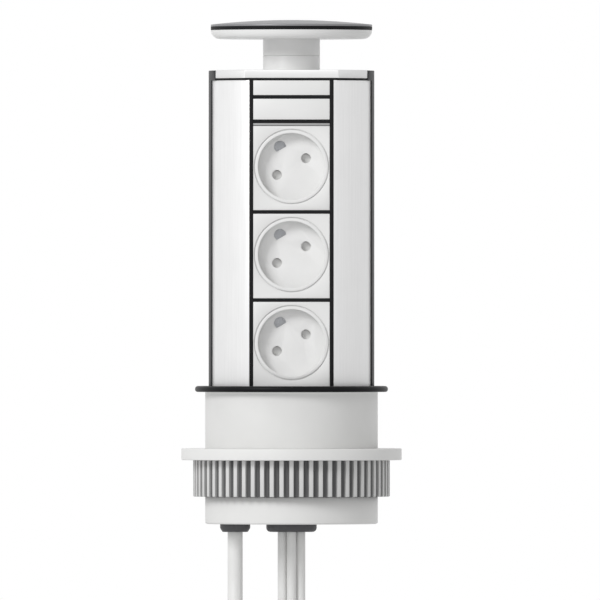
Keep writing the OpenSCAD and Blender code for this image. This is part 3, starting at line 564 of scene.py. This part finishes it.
def narrow_strips(vertex):
    """Draws a strip or groove below the seal in towards the X axis, to the width that the photo shows."""
    x, y, z = vertex.co / MM
    reach, turn = math.hypot(x, y), math.degrees(math.atan2(y, abs(x)))
    if reach > GROOVE_R and abs(turn) < STRIP_ARC and z < SEAL_Z + SEAL_MARGIN:
        turn = math.radians(turn * STRIP_SHOWN / STRIP_ARC)
        vertex.co = Vector((math.copysign(reach * math.cos(turn), x), reach * math.sin(turn), z)) * MM


# Degrees. The cap's smaller angle takes in the two corners of its flat front.
FLAT_ANGLE, BEVEL_ANGLE, CAP_BEVEL_ANGLE, CRISP_ANGLE = 0.5, 40, 25, 50


def bevelled(name, node, width, angle=BEVEL_ANGLE, hard=False):
    """A merged copy of the CAD node with its sharp edges rounded; it stands for the node.

    A hard one's flat faces shade flat right up to the rounded edges.
    """
    piece = bpy.data.objects.new(name, NODES[node].data.copy())
    bpy.context.scene.collection.objects.link(piece)
    bm = bmesh.new()
    bm.from_mesh(piece.data)
    bmesh.ops.remove_doubles(bm, verts=bm.verts, dist=WELD)
    bmesh.ops.dissolve_limit(bm, angle_limit=math.radians(FLAT_ANGLE), verts=bm.verts, edges=bm.edges)
    if node in ("tower_profile", "glide_strips"):
        everything = [*bm.verts, *bm.edges, *bm.faces]
        bmesh.ops.bisect_plane(bm, geom=everything, plane_co=(0, 0, SEAL_Z * MM), plane_no=(0, 0, 1))
        for vertex in bm.verts:
            narrow_strips(vertex)
    bm.to_mesh(piece.data)
    bm.free()
    modifier = piece.modifiers.new("bevel", "BEVEL")
    modifier.width = width * MM
    modifier.segments = 2
    modifier.limit_method = "ANGLE"
    modifier.angle_limit = math.radians(angle)
    modifier.use_clamp_overlap = True
    if hard:
        piece.data.shade_smooth()
        modifier.harden_normals = True
    bpy.context.view_layer.update()
    mesh = bpy.data.meshes.new_from_object(piece.evaluated_get(bpy.context.evaluated_depsgraph_get()))
    piece.modifiers.clear()
    spare, piece.data = piece.data, mesh
    bpy.data.meshes.remove(spare)
    mesh.name = name
    return stand_for(piece if hard else sharpen(piece, CRISP_ANGLE), node)


# Widths of the rounded edges, in millimetres
CAP_BEVEL = 0.35
BEVELS = {
    "module_carrier": 0.15, "blank_panel": 0.2, "name_panel": 0.2, "grey_strip": 0.15,
    "socket_front_1": 0.14, "socket_front_2": 0.14, "socket_front_3": 0.14,
    "socket_floor_1": 0.25, "socket_floor_2": 0.25, "socket_floor_3": 0.25,
    "lower_panel": 0.3, "sleeve": 0.3, "end_cap": 0.4, "mains_gland": 0.25,
    "glide_strips": 0.2, "tower_profile": 0.15,
}
bevelled("top_cap_rounded", "top_cap", CAP_BEVEL, CAP_BEVEL_ANGLE, hard=True)
for node_name, width in BEVELS.items():
    bevelled(node_name + "_rounded", node_name, width)


# The lid with its neck, and the flange

LID_R, DISH_LOW, GASKET_LOW, GASKET_HIGH = 46, 201.2, 206.2, 208.2
DOME_TOP, DOME_RIM = 212.0, 209.4
DOME_R = (LID_R**2 + (DOME_TOP - DOME_RIM) ** 2) / (2 * (DOME_TOP - DOME_RIM))
dome = [
    (r, DOME_TOP - DOME_R + math.sqrt(DOME_R**2 - r * r), 0)
    for r in (45.4, 44, 41, 37, 32, 26, 19, 12, 6, 0)
]
lathe(
    "lid_top_turned",
    [(0, GASKET_HIGH, 0), (40.4, GASKET_HIGH, 0.2), (40.4, 203.5, 0.2), (42.8, 203.5, 0.2),
     (42.8, GASKET_HIGH, 0.2), (LID_R, GASKET_HIGH, 0.2), (LID_R, DOME_RIM, 0.5), *dome],
    "lid_top",
)
lathe(
    "lid_gasket_turned",
    [(42.9, GASKET_LOW, 0), (LID_R, GASKET_LOW, 0.3), (LID_R, GASKET_HIGH, 0.3), (42.9, GASKET_HIGH, 0)],
    "lid_gasket",
)
lathe(
    "lid_dish_turned",
    [(0, DISH_LOW, 0), (LID_R, DISH_LOW, 4.9), (LID_R, GASKET_LOW, 0.2), (43.6, GASKET_LOW, 0.2),
     (43.6, 203.4, 0.4), (0, 203.4, 0)],
    "lid_dish",
)
NECK_R, NECK_BORE_R, NECK_PARTING = 16.25, 13.65, 191.6
lathe(
    "neck_collar_turned",
    [(NECK_R, NECK_PARTING, 0.4), (NECK_R, DISH_LOW, 0), (NECK_BORE_R, DISH_LOW, 0),
     (NECK_BORE_R, 187.6, 0.1), (14.85, 187.6, 0.2), (14.85, NECK_PARTING, 0)],
    "neck_collar",
)
lathe(
    "stem_turned",
    [(NECK_BORE_R, 172.3, 0.2), (17.65, 172.3, 0.3), (17.65, 174.3, 0.3), (NECK_R, 174.3, 0),
     (NECK_R, NECK_PARTING, 0.4), (14.95, NECK_PARTING, 0.1), (14.95, 187.5, 0), (NECK_BORE_R, 187.5, 0.1)],
    "stem",
)
lathe(
    "flange_ring_turned",
    [(47.5, 1.5, 0), (51.3, 1.5, 0), (51.3, 0, 0.2), (55, 0, 1.4), (55, 3.4, 1.6), (47.5, 3.4, 0.5)],
    "flange_ring",
)


# What repeats is laid by Geometry Nodes. First the nut: one rib and its half flutes, laid round the sleeve.

FLUTES = 62
NUT_R, NUT_BORE_R, FLUTE_R, FLUTE_DEPTH, FLUTE_LIP = 56.1, 49.45, 1.7, 2.0, 0.12
NUT_LOW, NUT_HIGH, NUT_CHAMFER, BORE_CHAMFER = -59.6, -38.8, 0.6, 1


def rib_mesh():
    """One share of the nut as a grid of columns, each a closed section through the wall."""
    share = 2 * math.pi / FLUTES
    axis_r = NUT_R + FLUTE_R - FLUTE_DEPTH
    past_axis = (NUT_R**2 + axis_r**2 - FLUTE_R**2) / (2 * axis_r) - axis_r
    edge = math.asin(math.sqrt(FLUTE_R**2 - past_axis**2) / NUT_R)
    columns = [-share / 2, -(share / 2 + edge) / 2]
    columns += [edge * math.sin(math.radians(a)) for a in range(-90, 91, 15)]
    columns += [(share / 2 + edge) / 2, share / 2]
    verts = []
    for turn in columns:
        reach = NUT_R
        if abs(turn) < edge:
            reach = axis_r * math.cos(turn) - math.sqrt(max(0, FLUTE_R**2 - (axis_r * math.sin(turn)) ** 2))
        if math.isclose(abs(turn), edge):
            reach -= FLUTE_LIP
        rim = [(NUT_R - NUT_CHAMFER, 0), (NUT_R - 0.15, 0.2), (NUT_R, NUT_CHAMFER)]
        foot = [(NUT_BORE_R, BORE_CHAMFER), (NUT_BORE_R + BORE_CHAMFER, 0)]
        foot += [(min(reach, r), up) for r, up in rim]
        section = [(r, NUT_LOW + up) for r, up in foot] + [(r, NUT_HIGH - up) for r, up in reversed(foot)]
        for r, z in section:
            verts.append(Vector((r * math.cos(turn), r * math.sin(turn), z)) * MM)
    return verts, joined_rings(len(columns), len(section))


def repeat_tree():
    """Lays the unit on each vertex of Places, each turned by Tip more about X and by Turn more about Z."""
    tree = bpy.data.node_groups.new("repeat_unit", "GeometryNodeTree")
    for name, kind in (
        ("Geometry", "NodeSocketGeometry"), ("Places", "NodeSocketObject"), ("Tip", "NodeSocketFloat"),
        ("Turn", "NodeSocketFloat"), ("Merge", "NodeSocketFloat"), ("Material", "NodeSocketMaterial"),
    ):
        tree.interface.new_socket(name, in_out="INPUT", socket_type=kind)
    tree.interface.new_socket("Geometry", in_out="OUTPUT", socket_type="NodeSocketGeometry")
    made = {
        key: tree.nodes.new(kind)
        for key, kind in (
            ("given", "NodeGroupInput"), ("result", "NodeGroupOutput"),
            ("places", "GeometryNodeObjectInfo"), ("index", "GeometryNodeInputIndex"),
            ("tip", "ShaderNodeMath"), ("turn", "ShaderNodeMath"), ("about", "ShaderNodeCombineXYZ"),
            ("lay", "GeometryNodeInstanceOnPoints"), ("real", "GeometryNodeRealizeInstances"),
            ("merge", "GeometryNodeMergeByDistance"), ("paint", "GeometryNodeSetMaterial"),
        )
    }
    made["tip"].operation = made["turn"].operation = "MULTIPLY"
    for start, out, end, into in (
        ("index", "Index", "turn", 0), ("given", "Turn", "turn", 1), ("turn", 0, "about", "Z"),
        ("index", "Index", "tip", 0), ("given", "Tip", "tip", 1), ("tip", 0, "about", "X"),
        ("given", "Places", "places", "Object"), ("places", "Geometry", "lay", "Points"),
        ("given", "Geometry", "lay", "Instance"), ("about", 0, "lay", "Rotation"),
        ("lay", 0, "real", 0), ("real", 0, "merge", "Geometry"), ("given", "Merge", "merge", "Distance"),
        ("merge", 0, "paint", "Geometry"), ("given", "Material", "paint", "Material"),
        ("paint", 0, "result", 0),
    ):
        tree.links.new(made[start].outputs[out], made[end].inputs[into])
    return tree


REPEAT = repeat_tree()


def repeated(name, unit, places, turn=0.0, merge=WELD, slot="steel", tip=0.0):
    """One mesh of the unit (verts, faces) laid on the places by Geometry Nodes."""
    source = new_object(name + "_unit", *unit)
    spots = new_object(name + "_places", [Vector(p) * MM for p in places], [])
    modifier = source.modifiers.new("repeat", "NODES")
    modifier.node_group = REPEAT
    given = {"Places": spots, "Tip": tip, "Turn": turn, "Merge": merge, "Material": MATERIALS[slot]}
    for item in REPEAT.interface.items_tree:
        if item.in_out == "INPUT" and item.name in given:
            modifier[item.identifier] = given[item.name]
    bpy.context.view_layer.update()
    evaluated = source.evaluated_get(bpy.context.evaluated_depsgraph_get())
    mesh = bpy.data.meshes.new_from_object(evaluated)
    mesh.name = name
    piece = bpy.data.objects.new(name, mesh)
    bpy.context.scene.collection.objects.link(piece)
    for spare in (source, spots):
        spare_mesh = spare.data
        bpy.data.objects.remove(spare)
        bpy.data.meshes.remove(spare_mesh)
    return faced_outwards(piece)


# The caps' screws: eight alike, head up in the top cap and head down in the end cap

SCREW_R, SCREW_HEAD, SHANK_R, SCREW_TIP_R, SCREW_LENGTH = 2.9, 2.0, 1.55, 0.01, 14
CROSS_REACH, CROSS_HALF, CROSS_DEPTH, CROSS_TAPER, CROSS_POINT = 1.6, 0.35, 1.1, 0.75, 0.15
SCREW_CIRCLE_R, SCREW_ANGLES = 41.5, (-38, 62, 118, 218)
TOP_HEADS_Z, FOOT_HEADS_Z = 183.1, -75.0
SCREW_TURN = 0.4


def screw_mesh():
    """A screw standing head up under the origin, in rings from its tip to the domed head's cross recess."""
    arm = [(CROSS_REACH, -CROSS_HALF), (CROSS_REACH, 0), (CROSS_REACH, CROSS_HALF), (1.0, CROSS_HALF)]
    arm += [(0.6, CROSS_HALF), (CROSS_HALF, CROSS_HALF), (CROSS_HALF, 0.6), (CROSS_HALF, 1.0)]
    cross = [Matrix.Rotation(math.radians(turn), 2) @ Vector(p) for turn in (0, 90, 180, 270) for p in arm]
    around = len(cross)
    profile = [
        (SCREW_TIP_R, -SCREW_LENGTH), (SHANK_R - 0.4, -SCREW_LENGTH), (SHANK_R, -SCREW_LENGTH + 0.4),
        (SHANK_R, -SCREW_HEAD), (SCREW_R - 0.1, -SCREW_HEAD), (SCREW_R, -SCREW_HEAD + 0.1),
        (SCREW_R, -0.95), (2.82, -0.7), (2.62, -0.46), (2.3, -0.28), (1.95, -0.17),
    ]
    turns = [2 * math.pi * (j - 1) / around for j in range(around)]
    rings = [[(r * math.cos(turn), r * math.sin(turn), z) for turn in turns] for r, z in profile]
    for share, z in ((1.06, -0.1), (1, -0.2), (CROSS_TAPER, -CROSS_DEPTH)):
        rings.append([(share * x, share * y, z) for x, y in cross])
    verts = [Vector(point) * MM for ring in rings for point in ring]
    faces = [tuple(reversed(range(around))), *joined_rings(len(rings), around)]
    verts.append(Vector((0, 0, -CROSS_DEPTH - CROSS_POINT)) * MM)
    last = (len(rings) - 1) * around
    faces += [(last + j, last + (j + 1) % around, len(verts) - 1) for j in range(around)]
    return verts, faces


screw_places = [
    (SCREW_CIRCLE_R * math.cos(math.radians(turn)), SCREW_CIRCLE_R * math.sin(math.radians(turn)), z)
    for turn in SCREW_ANGLES for z in (TOP_HEADS_Z, FOOT_HEADS_Z)
]
cap_screws = repeated("cap_screws_crossed", screw_mesh(), screw_places, turn=SCREW_TURN, tip=math.pi)
stand_for(cap_screws, "cap_screws")


# Plugs on the leads' ends: a turned one on the mains lead, and gilt contacts in the three connectors

NECK_RIBS, NECK_RIB_STEP, NECK_RIB_WIDTH, NECK_RIB_DEPTH = 7, 2.2, 1.4, 0.9
NECK_TOP_R, NECK_GROWTH = 5.4, 1.4
neck = []
for k in range(NECK_RIBS):
    top = -NECK_RIB_WIDTH - k * NECK_RIB_STEP
    reach = NECK_TOP_R + NECK_GROWTH * (k + 0.5) / NECK_RIBS
    groove = reach - NECK_RIB_DEPTH
    neck += [(reach, top, 0.25), (reach, top - NECK_RIB_WIDTH, 0.25)]
    neck += [(groove, top - NECK_RIB_WIDTH, 0), (groove, top - NECK_RIB_STEP, 0)]
plug_profile = [
    (0, 0, 0), (NECK_TOP_R, 0, 0.6), (NECK_TOP_R, -1, 0), *neck[:-2], (6.8, -17.2, 1.0), (9.5, -21, 3),
    (11.5, -30, 8), (13, -38, 4), (17.4, -42, 2), (18.4, -44, 1.5), (18.4, -53, 0), (18.4, -54, 0.9),
    (0, -54, 0),
]
*plug_centre, plug_top = [c / MM for c in mains_course["path"][-1]]
plug_profile = [(r, plug_top + z, fillet) for r, z, fillet in plug_profile]
mains_plug = lathe("mains_plug_turned", plug_profile, "mains_plug", plug_centre)

CONTACTS, CONTACT_PITCH = 8, 1.02
CONTACT_AHEAD, CONTACT_BELOW = 3.32, 29.525


def contact_mesh():
    """One of a connector's thin contacts, its lower corner cut, with its middle at the origin."""
    half_width, half_depth, half_height, cut = 0.2, 0.42, 2.2, 0.25
    side = [
        (-half_depth, -half_height), (half_depth - cut, -half_height), (half_depth, -half_height + cut),
        (half_depth, half_height), (-half_depth, half_height),
    ]
    verts = [Vector((x, y, z)) * MM for x in (-half_width, half_width) for y, z in side]
    count = len(side)
    faces = [tuple(reversed(range(count))), tuple(range(count, 2 * count)), *joined_rings(2, count)]
    return verts, faces


for n, (lead, tie, course) in enumerate(data_leads, 1):
    x, y, z = [c / MM for c in course["path"][-1]]
    places = [
        (x + (j - (CONTACTS - 1) / 2) * CONTACT_PITCH, y + CONTACT_AHEAD, z - CONTACT_BELOW)
        for j in range(CONTACTS)
    ]
    contacts = repeated(f"data_plug_{n}_contacts", contact_mesh(), places, slot="brass")
    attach(contacts, "tower")


# The nut laid out, the clamp ring over it, and the oblong gland

nut = repeated(
    "clamp_nut_ribbed", rib_mesh(), [(0, 0, 0)] * FLUTES, turn=2 * math.pi / FLUTES, merge=2 * WELD,
    slot="nut_grey",
)
stand_for(nut, "clamp_nut")


def add_blocks(piece, blocks):
    """Joins plain blocks (low corner, high corner, turn about Z in degrees) to the piece's mesh."""
    bm = bmesh.new()
    bm.from_mesh(piece.data)
    for low, high, turn in blocks:
        low, high = Vector(low) * MM, Vector(high) * MM
        place = Matrix.Rotation(math.radians(turn), 4, "Z") @ Matrix.Translation((low + high) / 2)
        bmesh.ops.create_cube(bm, size=1, matrix=place @ Matrix.Diagonal((*(high - low), 1)))
    bm.to_mesh(piece.data)
    bm.free()
    return sharpen(piece)


ring = lathe(
    "clamp_ring_turned",
    [(49.5, -38.8, 0.2), (62.8, -38.8, 0.6), (62.8, -32.2, 0.6), (49.5, -32.2, 0.2)],
    "clamp_ring",
)
add_blocks(ring, [((48.6, -2.7, -38.7), (50.2, 2.7, -32.3), turn) for turn in (60, 120)])
lathe(
    "data_gland_moulded",
    [(0, -79.8, 0), (8.5, -79.8, 2.4), (8.5, -75.2, 0.2), (5.9, -75.2, 0), (5.9, -72.5, 0), (0, -72.5, 0)],
    "data_gland", segments=96, spread=5.9,
)


# Springs: on the object each flattens towards its foot as the piece on it is pressed; here each is a piece
# with a mesh of its own

SPRING_R, SPRING_WIRE, SPRING_TURNS = 9.5, 1.4, 8
SPRING_LOW, SPRING_HIGH = 154.5, 198.5
STEPS_A_TURN = 24
SPRING_STEPS = SPRING_TURNS * STEPS_A_TURN
coil = []
for k in range(SPRING_STEPS + 1):
    turn = 2 * math.pi * k / STEPS_A_TURN
    z = SPRING_LOW + (SPRING_HIGH - SPRING_LOW) * k / SPRING_STEPS
    coil.append(Vector((SPRING_R * math.cos(turn), SPRING_R * math.sin(turn), z)) * MM)
latch_spring = stand_for(tube_mesh("latch_spring_coil", coil, SPRING_WIRE / 2 * MM, 12), "latch_spring")
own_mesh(latch_spring)

for n in (1, 2, 3):
    leaf = bpy.data.objects.new(f"shutter_spring_{n}_leaf", NODES[f"shutter_spring_{n}"].data.copy())
    bpy.context.scene.collection.objects.link(leaf)
    stand_for(leaf, f"shutter_spring_{n}")
    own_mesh(leaf)


# Light, floor and background: metres and watts

MIDDLE = Vector((0, 0, 0.05))
KEY_PLACE, KEY_SIZE, KEY_POWER = Vector((-1.2, -1.6, 1.1)), 0.8, 22
SKY_UNSEEN = 0.52
FLOOR_Z, FLOOR_REACH, FLOOR_LIFT = -0.52, 3, 0.5


def key_light():
    """One large lamp from the upper left, aimed at the middle of the tower."""
    data = bpy.data.lights.new("key", "AREA")
    data.size = KEY_SIZE
    data.energy = KEY_POWER
    lamp = bpy.data.objects.new("key", data)
    lamp.location = KEY_PLACE
    lamp.rotation_euler = (MIDDLE - KEY_PLACE).to_track_quat("-Z", "Y").to_euler()
    bpy.context.scene.collection.objects.link(lamp)


def white_where_seen(tree, strength, unseen):
    """A strength of 1 for camera, glossy and transmission rays, and the unseen strength for the rest."""
    path = tree.nodes.new("ShaderNodeLightPath")
    seen = path.outputs[SEEING_RAYS[0]]
    for ray in SEEING_RAYS[1:]:
        greater = tree.nodes.new("ShaderNodeMath")
        greater.operation = "MAXIMUM"
        tree.links.new(seen, greater.inputs[0])
        tree.links.new(path.outputs[ray], greater.inputs[1])
        seen = greater.outputs[0]
    level = tree.nodes.new("ShaderNodeMapRange")
    tree.links.new(seen, level.inputs["Value"])
    level.inputs["To Min"].default_value = unseen
    level.inputs["To Max"].default_value = 1
    tree.links.new(level.outputs[0], strength)


key_light()
scene = bpy.context.scene
world = bpy.data.worlds.new("world")
world.use_nodes = True
scene.world = world
background = next(n for n in world.node_tree.nodes if n.type == "BACKGROUND")
background.inputs["Color"].default_value = (1, 1, 1, 1)
white_where_seen(world.node_tree, background.inputs["Strength"], SKY_UNSEEN)

corners = [(x * FLOOR_REACH, y * FLOOR_REACH, FLOOR_Z) for x, y in ((-1, -1), (1, -1), (1, 1), (-1, 1))]
floor = new_object("floor", corners, [(0, 1, 2, 3)])
paint = Graph("floor_white", Roughness=0.9)
floor.data.materials.append(
    paint.dress(Base_Color=paint.mix(paint.noise(3), tint((0.86, 0.86, 0.86)), tint((0.88, 0.88, 0.88))))
)
paint.pale_and_one_sided(FLOOR_LIFT)
scene.view_settings.view_transform = "Standard"
